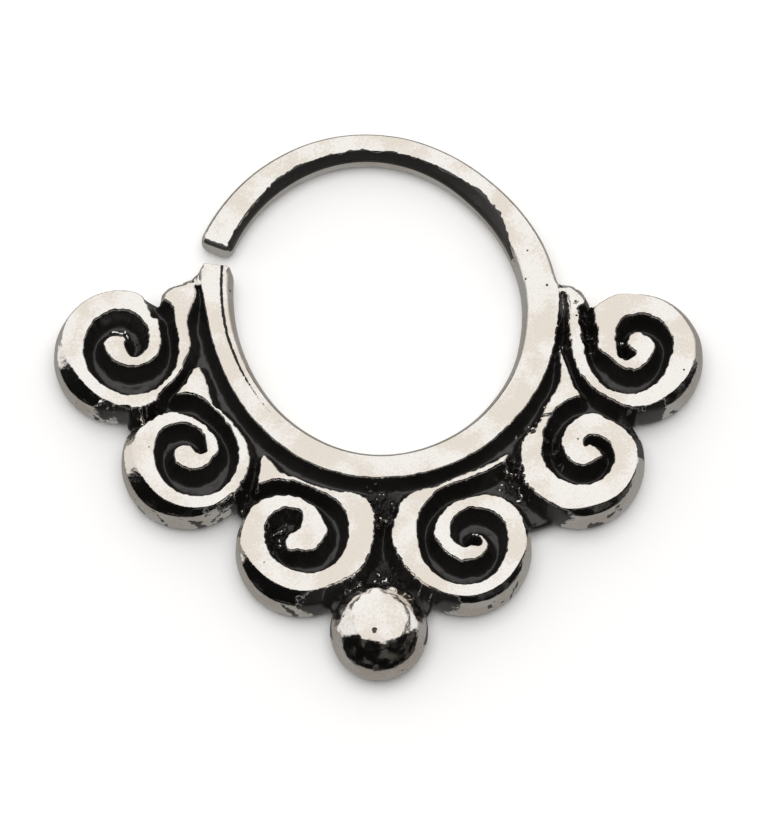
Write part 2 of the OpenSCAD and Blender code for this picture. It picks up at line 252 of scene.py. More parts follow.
relief = {
    "crest": 2.0,        # height of the ridges
    "floor": 0.85,       # height of the open ground
    "wall": 0.38,        # how far a ridge's wall reaches out from its edge
    "steepness": 2.0,    # power of the wall's curve down to the ground
    "edgeRound": 0.09,   # rounding of the crest's edges
    "ragged": 0.022,     # how far the crest's edges wander
    "past": 1.2,         # a ridge's reach past the rim, in lobe radii, and the turn it takes to get there
    "rimEase": 16.0,
    "dome": 0.035,       # how much lower a crest is at its edge than in its middle
    "swell": 0.012,      # height of the hand finish's waves
    "grit": 0.04,        # height of the ground's roughness
    "grain": 0.24,       # and of the grains in its rough patches
    "wireWall": 0.42,    # how far the hoop's wall reaches into the ground
    "blend": 0.1,        # how softly ridges, wire and ground meet
}

# casting pits: middle, radius and depth
pits = [((-0.09, -12.25), 0.09, 0.10), ((5.91, 0.68), 0.07, 0.06), ((5.24, 1.95), 0.05, 0.04),
        ((5.17, 0.90), 0.05, 0.04), ((6.96, -5.12), 0.05, 0.05), ((10.65, -2.6), 0.05, 0.05),
        ((10.5, -1.9), 0.04, 0.04), ((10.55, -3.1), 0.05, 0.05), ((-7.9, -5.4), 0.04, 0.04),
        ((-5.9, 2.05), 0.07, 0.06), ((-3.9, -9.6), 0.05, 0.05), ((6.5, -2.1), 0.04, 0.04),
        ((-5.1, 0.5), 0.07, 0.05), ((6.9, -0.03), 0.07, 0.06),
        ((6.97, -0.33), 0.05, 0.05), ((6.93, -0.6), 0.05, 0.05)]

# short strokes, bare where they rise and dark where they sink: two ends, half width and rise
strokes = [((5.62, -4.26), (6.08, -4.23), 0.035, -0.15),
           ((-9.22, -0.93), (-8.74, -0.97), 0.035, 0.30), ((-8.74, -0.97), (-8.65, -1.14), 0.03, 0.25),
           ((8.86, -1.03), (8.66, -1.25), 0.05, 0.35), ((8.55, -1.36), (8.5, -1.42), 0.04, 0.25),
           ((-3.46, -8.23), (-3.28, -8.20), 0.05, 0.30), ((-3.47, -8.71), (-3.37, -8.78), 0.05, 0.30),
           ((5.23, -4.87), (5.42, -4.80), 0.06, 0.35), ((5.80, -3.81), (5.74, -3.96), 0.04, 0.25),
           ((4.48, -6.22), (4.60, -6.14), 0.07, 0.45), ((4.70, -6.20), (4.78, -6.14), 0.06, 0.40),
           ((-0.12, -10.60), (-0.02, -10.58), 0.13, 0.08), ((0.55, -10.46), (0.64, -10.48), 0.15, 0.10),
           ((1.03, -10.58), (1.08, -10.64), 0.13, 0.10), ((1.33, -10.92), (1.36, -11.02), 0.11, 0.07),
           ((-0.52, -10.84), (-0.46, -10.82), 0.11, 0.05), ((-1.30, -11.15), (-1.34, -11.30), 0.13, 0.07),
           ((-1.47, -11.90), (-1.47, -12.00), 0.13, 0.06)]

# patches of rough ground, where the crests' edges wander more: middle, radius and share
grainy = [((0.15, -7.55), 1.3, 1.0), ((0.3, -10.4), 1.9, 0.8), ((5.2, -6.4), 1.2, 1.0),
          ((6.9, -1.0), 1.3, 0.9), ((5.6, -4.9), 1.0, 0.8), ((-4.6, -7.1), 1.0, 0.6),
          ((-7.9, -4.2), 0.9, 0.7), ((-3.6, -8.4), 0.9, 0.7), ((8.4, -1.7), 0.9, 0.6),
          ((6.2, -5.4), 0.8, 0.6), ((-8.0, -1.4), 0.7, 0.4), ((-4.4, -11.0), 1.2, 0.6),
          ((6.85, -0.3), 0.5, 0.9), ((4.9, -10.9), 1.2, 0.6), ((-9.9, -3.9), 1.0, 0.6),
          ((8.9, -4.4), 1.0, 0.3)]


def fromStroke(x, y, start, end):
    # distance to the straight line between two ends: to start + u (end - start), where u is the
    # place's own share of the way, kept from 0 to 1
    dx, dy = end[0] - start[0], end[1] - start[1]
    u = np.clip(((x - start[0]) * dx + (y - start[1]) * dy) / (dx * dx + dy * dy), 0.0, 1.0)
    return np.hypot(x - start[0] - u * dx, y - start[1] - u * dy)


def roughness(x, y):
    # share from 0 to 1 of the rough ground's grain: 1 - eased distance from the nearest patch's middle
    rough = np.zeros(x.shape)
    for (middleX, middleY), radius, share in grainy:
        away = np.hypot(x - middleX, y - middleY)
        rough = np.maximum(rough, share * (1.0 - ease(away / radius)))
    return rough


def ridgeOutline(scroll, toRim):
    # out along the inner edge and back along the outer one: eye + r (cos way t, sin way t);
    # with toRim the outer edge eases out past the lobe between its rim turns
    rows, (start, stop) = scroll["rows"], scroll["rim"]
    turn = np.unique(np.append(np.arange(rows[0][0], rows[-1][0], 4.0), [row[0] for row in rows]))
    edges = np.maximum(smoothRows(rows, turn), 0.01)
    onRim = ease((turn - start) / relief["rimEase"]) * ease((stop - turn) / relief["rimEase"]) * toRim
    edges[:, 1] += (relief["past"] - edges[:, 1]) * onRim
    angle = np.radians(scroll["way"] * turn)
    ring = lobes["radius"] * np.stack([np.cos(angle), np.sin(angle)], axis=1)
    inner, outer = edges[:, :1] * ring, edges[:, 1:] * ring
    return np.concatenate([inner, outer[::-1]]) + scroll["eye"]


crestOutlines = [ridgeOutline(scroll, False) for scroll in scrolls]
ridgeOutlines = [ridgeOutline(scroll, True) for scroll in scrolls]


def ridgeDepths(x, y):
    # depth inside the nearest flat crest and inside the nearest ridge, or minus the distance to it;
    # past its crest a ridge keeps to its own lobe
    crests, bodies = np.full(x.shape, -2.0), np.full(x.shape, -2.0)
    for scroll, middle, crest, body in zip(scrolls, lobes["middles"], crestOutlines, ridgeOutlines):
        near = np.hypot(x - scroll["eye"][0], y - scroll["eye"][1]) < 4.3
        onCrest = outlineDepth(x[near], y[near], crest)
        if "knob" in scroll:
            knobX, knobY, radius = scroll["knob"]
            onCrest = smoothMax(onCrest, radius - np.hypot(x[near] - knobX, y[near] - knobY), 0.06)
        inLobe = lobes["radius"] + 0.03 - np.hypot(x[near] - middle[0], y[near] - middle[1])
        onBody = np.maximum(onCrest, np.minimum(outlineDepth(x[near], y[near], body), inLobe))
        crests[near] = smoothMax(crests[near], onCrest, 0.06)
        bodies[near] = smoothMax(bodies[near], onBody, 0.06)
    return crests, bodies


def webOutline():
    middles, notches = lobes["middles"], web["notches"]
    rim = [middles[0], notches[0], middles[1], notches[1], middles[2], notches[2], ball["middle"],
           notches[3], middles[3], notches[4], middles[4], notches[5], middles[5]]
    turn = np.arange(366.0, 167.0, -6.0)
    radius = smoothRows(hoop["plan"], turn)[:, 0] + 0.2
    along = list(zip(radius * np.cos(np.radians(turn)), radius * np.sin(np.radians(turn))))
    return web["leftTab"] + rim + web["rightTab"] + along


webLoop = webOutline()


def beadDepth(x, y):
    return ball["radius"] - np.hypot(x - ball["middle"][0], y - ball["middle"][1])


def planDepth(x, y):
    # depth inside the ring's whole outline: hoop, lobes, ball and web joined with small fillets
    inner, outer, ends, turn = hoopFields(x, y)
    depth = smoothMin(np.minimum(inner, outer), ends, hoop["endRound"])
    for middle in lobes["middles"]:
        depth = smoothMax(depth, lobes["radius"] - np.hypot(x - middle[0], y - middle[1]), web["fillet"])
    depth = smoothMax(depth, outlineDepth(x, y, webLoop), web["fillet"])
    return smoothMax(depth, beadDepth(x, y), web["fillet"])


def farSide(x, y):
    # 0 to 1 up the far side of a lobe: eased height over its middle in lobe radii
    up = np.max([(y - b) / lobes["radius"] * (np.hypot(x - a, y - b) < 2.5)
                 for a, b in lobes["middles"]], axis=0)
    return ease((up - 0.1) / 0.4)


def rimShape(x, y, depth):
    # the rim's roll width, arc cosine, slant, shoulder, waist height and draw-in at the back, each
    # a blend of the parts' own values by which part makes the outline there
    inner, outer, ends, turn = hoopFields(x, y)
    nearest = np.minimum(np.minimum(inner, outer), ends)
    onHoop = ease(1.0 + (nearest - depth) / 0.15)
    onHoop = np.maximum(onHoop, ease(0.5 + outer / 0.1) * ease(0.5 + inner / 0.1))
    onBall = ease(1.0 + (beadDepth(x, y) - depth) / 0.2)
    onInside = ease(0.5 + (outer - inner) / 0.3)
    onEnd = ease(0.5 + (np.minimum(inner, outer) - ends) / 0.1)
    onFree = ease((turn - 365.0) / 25.0) * onInside  # the free arc's side along the opening

    def byPart(lobeValue, hoopValue, ballValue):
        value = lobeValue + (hoopValue - lobeValue) * onHoop
        return value + (ballValue - value) * onBall

    slantWidth = np.maximum(smoothRows(hoop["flat"], turn)[:, 0], 0.2)
    innerRoll = hoop["innerRoll"] + (slantWidth - hoop["innerRoll"]) * onFree
    hoopRoll = hoop["outerRoll"] + (innerRoll - hoop["outerRoll"]) * onInside
    hoopRoll = hoopRoll + (hoop["endRoll"] - hoopRoll) * onEnd
    toCrest = np.maximum(-ridgeDepths(x, y)[0], 0.0)
    roll = byPart(np.clip(depth + toCrest, *lobes["roll"]), hoopRoll, ball["radius"])
    slant = byPart(1.0, onFree * (1.0 - onEnd), 0.0)
    steep = 1.0 - lobes["slope"] * roll / (relief["crest"] - lobes["waist"])
    steep = np.clip(steep, *lobes["shoulder"])
    steep = steep + (lobes["farShoulder"] - steep) * farSide(x, y)
    shoulder = byPart(steep, hoop["shoulder"], 0.5)
    arc = byPart(lobes["edge"], hoop["edge"], 0.0)
    waist = byPart(lobes["waist"], hoop["waist"], ball["height"])
    backIn = byPart(lobes["backIn"], hoop["backIn"], ball["backIn"])
    return roll, arc, slant, shoulder, waist, backIn


def rolled(share, arc, slant, shoulder):
    # height share of a rim at a share of its width: for a rolled rim sin e / sin e0, where
    # cos e = 1 - share (1 - cos e0), and for a slanted one steep up to the shoulder, then even
    share = np.clip(share, 0.0, 1.0)
    cosine = 1.0 - share * (1.0 - arc)
    arched = np.sqrt(np.maximum(1.0 - cosine * cosine, 0.0) / (1.0 - arc * arc))
    even = smoothMin(7.0 * share, shoulder + (1.0 - shoulder) * share, 0.12)
    even = even + 0.03 * (1.0 - ease(share / 0.1))
    return arched + (even - arched) * slant


def walled(depth, top, reach):
    # a ridge in section: its top falls off by a rounded edge, then down a hollow wall,
    # ground + (top - ground) (1 - distance / reach)^steepness
    ground = relief["floor"]
    edge = relief["edgeRound"]
    crown = top - 0.3 * edge * np.clip(1.0 - depth / edge, 0.0, 1.0) ** 2
    lip = top - 0.3 * edge
    wall = ground + (lip - ground) * np.clip(1.0 + depth / reach, 0.0, 1.0) ** relief["steepness"]
    return np.where(depth > 0.0, crown, wall)


def edgeWander(x, y, rough):
    # how far the edges of bare metal wander: waves of two sizes, and more on rough ground
    waves = relief["ragged"] * (unevenness(x, y, 0.16, 1) + 0.6 * unevenness(x, y, 0.09, 2))
    return waves + 0.08 * rough * (unevenness(x, y, 0.12, 16) - 0.2)


def fromJoins(x, y):
    # distance to the nearest join's edge, and less than 0 inside it
    return np.min([np.hypot(x - a, y - b) - radius for (a, b), radius in joins], axis=0)


def beadTop(x, y):
    # height of the ball, middle + sqrt(radius^2 - distance^2) with dents, and the places over it
    away = np.hypot(x - ball["middle"][0], y - ball["middle"][1])
    dents = unevenness(x, y, 0.7, 10) + 0.2 * unevenness(x, y, 0.22, 11)
    top = ball["height"] + np.sqrt(np.maximum(ball["radius"] ** 2 - away**2, 0.0))
    return top + ball["dents"] * dents * ease(ball["radius"] - away), away < ball["radius"]


def castForm(x, y, plan, ridge, wander):
    # height of the face: ridges, wire, ground and joins, brought down to the waist at the rim by
    # waist + (height - waist) share, and the ball over them; and where the ball shows
    inner, outer, ends, turn = hoopFields(x, y)
    face = smoothRows(hoop["face"], turn)[:, 0]
    dome = relief["dome"] * np.clip(1.0 - ridge / 0.5, 0.0, 1.0) ** 2
    swell = relief["swell"] * (unevenness(x, y, 0.9, 3) + 0.4 * unevenness(x, y, 0.4, 4))
    fromJoin = fromJoins(x, y)
    fall = (relief["crest"] - face) * (1.0 - ease(fromJoin / 1.1 + 0.1))
    ridges = walled(ridge, relief["crest"] - dome - fall, relief["wall"])
    wire = walled(outer + 0.5 * wander, face, relief["wireWall"])
    ground = relief["floor"] + relief["grit"] * (unevenness(x, y, 0.13, 5) + unevenness(x, y, 0.3, 6))
    core = smoothMax(smoothMax(ridges, wire, relief["blend"]), ground, relief["blend"]) + swell
    core = smoothMax(core, walled(-fromJoin, face, 0.3), 0.05)
    roll, arc, slant, shoulder, waist, backIn = rimShape(x, y, plan)
    height = waist + (core - waist) * rolled(plan / roll, arc, slant, shoulder)
    bead, overBead = beadTop(x, y)
    height = np.where(overBead, smoothMax(height, bead, 0.08), height)
    return height, overBead & (bead > height - 0.1)


def fromNotches(x, y):
    # a small share of the distance to the tarnish round the nearest notch, less than 0 inside it
    away = np.min([np.hypot(x - a, y - b) - reach * (1.0 + 0.4 * unevenness(x, y, 0.35, 12))
                   for (a, b), reach in zip(web["notches"], web["darkReach"])], axis=0)
    return 0.14 * (away + 0.06 * unevenness(x, y, 0.12, 15))


def onLine(inner, turn, half):  # the places within half of the fine dark line's middle
    return (np.abs(inner - hoop["lineIn"]) < half) & (turn < hoop["lineStop"] + 5.0)


def wireFinish(x, y, wander):
    # depth inside the hoop's bare metal, the least of those from its outer edge, from the slanted
    # flat, from the free end's strip and from the fine line; and the dark width along the opening
    inner, outer, ends, turn = hoopFields(x, y)
    brushed = 0.22 * unevenness(x, y, 0.8, 8) + 0.16 * unevenness(x, y, 0.16, 9)
    dark = smoothRows(hoop["flat"], turn)[:, 0] * (1.0 + brushed)
    start, stop = hoop["bareTurns"]
    wallBare = hoop["bareWall"] * ease((turn - start) / 8.0) * ease((stop - turn) / 6.0)
    bare = np.minimum(outer + 0.5 * wander + wallBare, np.where(dark > 0.01, inner - dark, deep))
    bare = np.minimum(bare, np.where(turn > hoop["freeFrom"], ends - hoop["endDark"] - wander, deep))
    half = hoop["lineHalf"] * ease((hoop["lineStop"] - turn) / 45.0)
    line = np.abs(inner - hoop["lineIn"] - 0.4 * wander) - half
    return np.minimum(bare, np.where(turn < hoop["lineStop"] + 5.0, line, deep)), dark


def marked(x, y, rough, height, bare):
    # pits and strokes change the height by their depth times exp(-(distance / size)^2); pits are
    # dark, strokes bare where they rise, and so are the highest grains of the rough ground
    for (middleX, middleY), radius, sink in pits:
        away = np.hypot(x - middleX, y - middleY) / radius
        height = height - sink * np.exp(-away * away)
        bare = np.minimum(bare, (away - 0.8) * radius)
    grains = unevenness(x, y, 0.085, 13) + 0.5 * unevenness(x, y, 0.19, 14)
    height = height + relief["grain"] * rough * np.maximum(grains, -0.5) * (bare < 0.0)
    bare = np.maximum(bare, np.where(rough > 0.05, 0.1 * (grains - 0.95 + 0.55 * rough), -deep))
    for start, end, width, rise in strokes:
        share = fromStroke(x, y, start, end) / width
        height = height + rise * np.exp(-share * share)
        if rise > 0.0:
            bare = np.maximum(bare, np.where(share < 1.0, 0.3 * (1.0 - share) - 0.02, -deep))
        else:
            bare = np.minimum(bare, (share - 0.8) * width)
    return height, bare


def surface(x, y):
    # height of the face over the plan; how deep each place is inside bare metal, on the face and on
    # the side below it; whether the hoop makes the rim there; and where the top of its side is dark
    plan = planDepth(x, y)
    inner, outer, ends, turn = hoopFields(x, y)
    rough = roughness(x, y)
    wander = edgeWander(x, y, rough)
    flat, ridge = ridgeDepths(x, y)
    height, onBead = castForm(x, y, plan, ridge + wander, wander)
    fromNotch = fromNotches(x, y)
    crestBare = np.maximum(flat + wander, np.minimum(ridge + wander, fromNotch))
    wireBare, dark = wireFinish(x, y, wander)
    beadBare = np.where(onBead, deep, -deep)
    bare = np.max([crestBare, wireBare, beadBare, wander - fromJoins(x, y)], axis=0)
    height, bare = marked(x, y, rough, height, bare)
    onWire = np.minimum(np.minimum(inner, outer), ends) > plan - 0.02
    darkTop = ((dark > 0.1) & (inner < outer)) | ((turn > hoop["freeFrom"]) & (ends < 0.12))
    sideBare = np.where(onWire, deep, np.minimum(bare, fromNotch))
    return height, np.clip(bare, -deep, deep), np.clip(sideBare, -deep, deep), onWire, onWire & darkTop


mesh = {
    "pitch": 0.0475,     # spacing of the face's lattice,
    "left": -11.6,       # and its limits
    "right": 11.8,
    "near": -13.8,
    "far": 6.8,
    "inset": 0.08,       # where the face ends and the side begins, in from the outline
    "sideRows": 5,       # rows down to the waist, and from there to the back
    "backRows": 3,
}


def slopeOf(field, x, y):
    # the way a field grows fastest, by central differences, and its steepness
    step = 0.01
    dx = (field(x + step, y) - field(x - step, y)) / (2.0 * step)
    dy = (field(x, y + step) - field(x, y - step)) / (2.0 * step)
    size = np.maximum(np.hypot(dx, dy), 0.2)
    return dx / size, dy / size, size


def edgeDepth(x, y):
    # depth inside the nearer of the flat crests and the hoop's face
    return np.maximum(ridgeDepths(x, y)[0], hoopFields(x, y)[1])


def keptCells(plan):
    # lattice cells whose four corners all lie inside, without any that meet only at a corner
    inside = plan > mesh["inset"] - 0.45 * mesh["pitch"]
    kept = inside[:-1, :-1] & inside[1:, :-1] & inside[:-1, 1:] & inside[1:, 1:]
    for _ in range(3):
        a, b, c, d = kept[:-1, :-1], kept[:-1, 1:], kept[1:, :-1], kept[1:, 1:]
        kept[:-1, :-1] &= ~(a & d & ~b & ~c)
        kept[:-1, 1:] &= ~(b & c & ~a & ~d)
    return kept


def borderEdges(kept, number):
    # directed sides of kept cells that no other kept cell shares, anticlockwise from above
    wide = np.pad(kept, 1)
    here = wide[1:-1, 1:-1]
    corners = number[:-1, :-1], number[:-1, 1:], number[1:, 1:], number[1:, :-1]
    sides = [(wide[:-2, 1:-1], 0, 1), (wide[1:-1, 2:], 1, 2),
             (wide[2:, 1:-1], 2, 3), (wide[1:-1, :-2], 3, 0)]
    return np.concatenate([np.stack([corners[a][here & ~other], corners[b][here & ~other]], axis=1)
                           for other, a, b in sides])


def flatBack(x, y, edges):
    # triangles that fill the outline made by the edges, turned to face down
    corners = [Vector(pair) for pair in zip(x.tolist(), y.tolist())]
    found = geometry.delaunay_2d_cdt(corners, edges.tolist(), [], 1, 1e-7)
    own = np.array([given[0] if given else -1 for given in found[3]])
    print("back closed:", len(corners), "corners,", np.sum(own < 0), "new")
    return own[np.array(found[2])][:, ::-1]


def faceLattice():
    # nodes and four-sided cells over the plan, and the sides of the cells along its border
    pitch = mesh["pitch"]
    x, y = np.meshgrid(np.arange(mesh["left"], mesh["right"], pitch),
                       np.arange(mesh["near"], mesh["far"], pitch))
    kept = keptCells(planDepth(x.ravel(), y.ravel()).reshape(x.shape))
    wide = np.pad(kept, 1)
    used = wide[:-1, :-1] | wide[:-1, 1:] | wide[1:, :-1] | wide[1:, 1:]
    number = np.full(x.shape, -1)
    number[used] = np.arange(used.sum())
    faces = np.stack([number[:-1, :-1][kept], number[:-1, 1:][kept],
                      number[1:, 1:][kept], number[1:, :-1][kept]], axis=1)
    return x[used], y[used], faces, borderEdges(kept, number)


def alongInset(x, y, evened):
    # border nodes move onto the line at the face's inset and spread along it
    for k in range(8):
        if k > 1:
            x, y = evened(x, 2), evened(y, 2)
        nx, ny, size = slopeOf(planDepth, x, y)
        miss = (mesh["inset"] - planDepth(x, y)) / size
        x, y = x + nx * miss, y + ny * miss
    return x, y


def ontoEdges(x, y, border):
    # nodes beside a crest's edge or the hoop's outer edge move onto it, so that it runs clean
    reach = 0.5 * mesh["pitch"]
    free = np.ones(len(x), bool)
    free[border] = False
    for _ in range(2):
        at = np.flatnonzero(free & (np.abs(edgeDepth(x, y)) < reach))
        nx, ny, size = slopeOf(edgeDepth, x[at], y[at])
        miss = np.clip(edgeDepth(x[at], y[at]) / np.maximum(size, 0.6), -reach, reach)
        x[at], y[at] = x[at] - nx * miss, y[at] - ny * miss


def sideTarnishAndShade(x, y, height, ny, sideBare, onWire):
    # the side's depth inside bare metal: the border's own with soft blotches, and on the lobes and
    # the ball spots of tarnish, with painted shade that puts more of them low in front, where ny is near 1
    blotch = 0.02 * unevenness(x + 1.7 * height, y - 1.1 * height, 0.4, 17) - 0.01
    bare = np.clip(sideBare + blotch, -deep, deep)
    spotsAndShade = unevenness(x + 0.6 * height, y - 0.5 * height, 0.3, 18)
    # painted shade: the ease of ny darkens the sides that face the front, for the dark studio they mirror
    spotsAndShade = spotsAndShade + 0.6 * unevenness(x, y + height, 0.13, 19) + 0.8 * ease((ny - 0.4) / 0.5)
    return np.where(onWire, bare, np.minimum(bare, 0.1 * (1.3 - spotsAndShade)))


def sideColumns(x, y, top, bare, sideBare, onWire, darkTop, evened):
    # a column down the side from each border node: rolled to the waist along an arc, where
    # out = inset - roll (1 - cos e) / (1 - arc) and height = waist + (top - waist) sin e / sin e0,
    # then drawn in to the back
    nx, ny, size = slopeOf(planDepth, x, y)
    nx, ny = evened(nx, 2), evened(ny, 2)
    roll, arc, slant, shoulder, waist, backIn = rimShape(x, y, planDepth(x, y))
    start = np.arccos(np.clip(1.0 - mesh["inset"] / roll * (1.0 - arc), 0.0, 1.0))
    columns = [(x, y, top, bare)]
    for k in range(1, mesh["sideRows"] + 1):
        angle = start * (1.0 - k / mesh["sideRows"])
        out = mesh["inset"] - roll * (1.0 - np.cos(angle)) / (1.0 - arc)
        height = waist + (top - waist) * np.sin(angle) / np.sin(start)
        # the side's tarnish, with painted shade on the sides that face the front
        onSide = sideTarnishAndShade(x, y, height, ny, sideBare + 0.06 * k / mesh["sideRows"], onWire)
        columns.append((x - nx * out, y - ny * out, height, np.where(darkTop & (k < 3), -deep, onSide)))
    walkX, walkY, gone = x, y, np.zeros(len(x))
    for k in range(1, mesh["backRows"] + 1):
        fall = (k / mesh["backRows"]) ** 0.8
        inwards = backIn * fall**2.2 - mesh["inset"]
        nowX, nowY, size = slopeOf(planDepth, walkX, walkY)
        step = np.maximum(inwards, 0.0) - gone
        walkX = x + evened(walkX + nowX * step - x, 4)
        walkY = y + evened(walkY + nowY * step - y, 4)
        gone = np.maximum(inwards, 0.0)
        out = np.maximum(-inwards, 0.0)
        columns.append((walkX - nx * out, walkY - ny * out, waist * (1.0 - fall), onSide))
    return columns


def castRing():
    px, py, faces, edges = faceLattice()
    border = np.unique(edges)
    count = len(border)
    place = np.full(len(px), -1)
    place[border] = np.arange(count)
    a, b = place[edges[:, 0]], place[edges[:, 1]]
    after, before = np.empty(count, int), np.empty(count, int)
    after[a], before[b] = b, a

    def evened(values, times):  # each value mixed with those of its neighbours along the border
        for _ in range(times):
            values = (values[before] + 2.0 * values + values[after]) / 4.0
        return values

    px[border], py[border] = alongInset(px[border], py[border], evened)
    ontoEdges(px, py, border)
    pz, bare, sideBare, onWire, darkTop = surface(px, py)
    columns = sideColumns(px[border], py[border], pz[border], bare[border], evened(sideBare[border], 8),
                          onWire[border], darkTop[border], evened)
    rings = [border] + [len(px) + k * count + np.arange(count) for k in range(len(columns) - 1)]
    walls = [np.stack([upper[b], upper[a], lower[a], lower[b]], axis=1)
             for upper, lower in zip(rings, rings[1:])]
    points = [np.stack([px, py, pz], axis=1)] + [np.stack(column[:3], axis=1) for column in columns[1:]]
    bareAll = np.concatenate([bare] + [column[3] for column in columns[1:]])
    back = flatBack(columns[-1][0], columns[-1][1], np.stack([a, b], axis=1))
    return np.concatenate(points), np.concatenate([faces] + walls), rings[-1][back], bareAll


def makeMesh(name, points, quads, triangles, bare, dull):
    # smooth four-sided faces, and flat triangles that are bare all over
    data = bpy.data.meshes.new(name)
    data.vertices.add(len(points))
    data.vertices.foreach_set("co", (points * mm).astype(np.float32).ravel())
    corners = np.concatenate([quads.ravel(), triangles.ravel()])
    data.loops.add(len(corners))
    data.loops.foreach_set("vertex_index", corners.astype(np.int32))
    starts = np.concatenate([np.arange(0, quads.size, 4), quads.size + np.arange(0, triangles.size, 3)])
    data.polygons.add(len(starts))
    data.polygons.foreach_set("loop_start", starts.astype(np.int32))
    data.polygons.foreach_set("use_smooth", np.arange(len(starts)) < len(quads))
    data.update(calc_edges=True)
    # bare: below 0 the metal turns to tarnish; on the sides that face the front part of that is painted
    # shade
    atCorners = np.append(bare[quads.ravel()], np.full(triangles.size, deep))
    data.attributes.new("bare", "FLOAT", "CORNER").data.foreach_set("value", atCorners.astype(np.float32))
    data.attributes.new("dull", "FLOAT", "POINT").data.foreach_set("value", dull.astype(np.float32))
    data.validate()
    piece = bpy.data.objects.new(name, data)
    bpy.context.scene.collection.objects.link(piece)
    return piece


def dullness(x, y):
    # 1 along the fixed end's fine line, and elsewhere the roughness
    inner, outer, ends, turn = hoopFields(x, y)
    return np.maximum(np.where(onLine(inner, turn, 0.12), 1.0, 0.0), roughness(x, y))


points, quads, triangles, bare = castRing()
ring = makeMesh("castRing", points, quads, triangles, bare, dullness(points[:, 0], points[:, 1]))
print("ring made:", len(ring.data.polygons), "faces")


# Finishes

def setInput(tree, slot, value):  # links another node's output, or sets the value
    if isinstance(value, bpy.types.NodeSocket):
        tree.links.new(value, slot)
    else:
        slot.default_value = value


def addNode(tree, kind, options=None, **inputs):
    # a node with its options and its inputs, named with _ for a space, or i and a number
    node = tree.nodes.new(kind)
    for key, value in (options or {}).items():
        setattr(node, key, value)
    for key, value in inputs.items():
        byNumber = key[0] == "i" and key[1:].isdigit()
        setInput(tree, node.inputs[int(key[1:]) if byNumber else key.replace("_", " ")], value)
    return node


def calc(tree, operation, *values):
    return addNode(tree, "ShaderNodeMath", {"operation": operation},
                   **{f"i{k}": value for k, value in enumerate(values)}).outputs[0]


def stepped(tree, value, low, high):  # eases from 0 at low to 1 at high
    return addNode(tree, "ShaderNodeMapRange", {"interpolation_type": "SMOOTHSTEP"},
                   Value=value, From_Min=low, From_Max=high).outputs[0]


def between(tree, share, low, high):  # even from low where the share is 0 to high where it is 1
    return addNode(tree, "ShaderNodeMapRange", Value=share, To_Min=low, To_Max=high).outputs[0]


def noise(tree, place, scale, detail):
    return addNode(tree, "ShaderNodeTexNoise", Vector=place, Scale=scale, Detail=detail).outputs[0]


def mixed(tree, share, a, b):  # colour a where the share is 0, b where it is 1
    return addNode(tree, "ShaderNodeMix", {"data_type": "RGBA"}, i0=share, i6=a, i7=b).outputs[2]


silver = {
    "bright": (0.97, 0.95, 0.92, 1),
    "warm": (0.85, 0.79, 0.715, 1),
    "speck": (0.74, 0.69, 0.64, 1),
    # tarnish is the patina of the hollows; on the sides that face the front it also serves as painted shade
    "tarnishAndShade": (0.010, 0.009, 0.008, 1),
    "brightRough": 0.11,
    "tarnishRough": 0.4,
    "tarnishShine": 1.0,   # specular level of the smooth tarnish, and of the dull
    "dullShine": 0.3,
    "patchScale": 650.0,   # noise scales, per metre
    "dentScale": 1500.0,
    "fineScale": 9000.0,
    "speckScale": 26000.0,
    "dentDepth": 0.00003,  # in metres
    "fineDepth": 0.0000018,
}


def antiquedSilver():
    made = bpy.data.materials.new("antiquedSilver")
    made.use_nodes = True
    tree = made.node_tree
    tree.nodes.clear()
    place = addNode(tree, "ShaderNodeTexCoord").outputs["Object"]
    bareDepth = addNode(tree, "ShaderNodeAttribute", {"attribute_name": "bare"}).outputs["Fac"]
    dullShare = addNode(tree, "ShaderNodeAttribute", {"attribute_name": "dull"}).outputs["Fac"]
    fine = noise(tree, place, silver["fineScale"], 3.0)
    patches = noise(tree, place, silver["patchScale"], 2.0)
    specks = noise(tree, place, silver["speckScale"], 2.0)
    around = calc(tree, "SUBTRACT", fine, 0.5)
    clean = stepped(tree, calc(tree, "ADD", bareDepth, calc(tree, "MULTIPLY", around, 0.07)), -0.010, 0.010)
    patches = calc(tree, "ADD", patches, calc(tree, "MULTIPLY", around, 0.4))
    tone = mixed(tree, stepped(tree, patches, 0.38, 0.60), silver["warm"], silver["bright"])
    tone = mixed(tree, stepped(tree, specks, 0.42, 0.28), tone, silver["speck"])
    # tarnish where the metal isn't clean, partly painted shade on the sides that face the front
    colour = mixed(tree, clean, silver["tarnishAndShade"], tone)
    rough = between(tree, clean, silver["tarnishRough"], silver["brightRough"])
    dents = addNode(tree, "ShaderNodeBump", Strength=1.0, Distance=silver["dentDepth"],
                    Height=noise(tree, place, silver["dentScale"], 3.0))
    bump = addNode(tree, "ShaderNodeBump", Strength=1.0, Distance=silver["fineDepth"], Height=fine,
                   Normal=dents.outputs[0])
    shine = between(tree, calc(tree, "MULTIPLY", dullShare, 2.0), silver["tarnishShine"],
                    silver["dullShine"])
    shader = addNode(tree, "ShaderNodeBsdfPrincipled", Base_Color=colour, Metallic=clean, Roughness=rough,
                     Specular_IOR_Level=shine, Normal=bump.outputs[0])
    addNode(tree, "ShaderNodeOutputMaterial", Surface=shader.outputs[0])
    return made


ring.data.materials.append(antiquedSilver())
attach(ring, "root")
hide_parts("septum_ring")


# Floor, light and camera

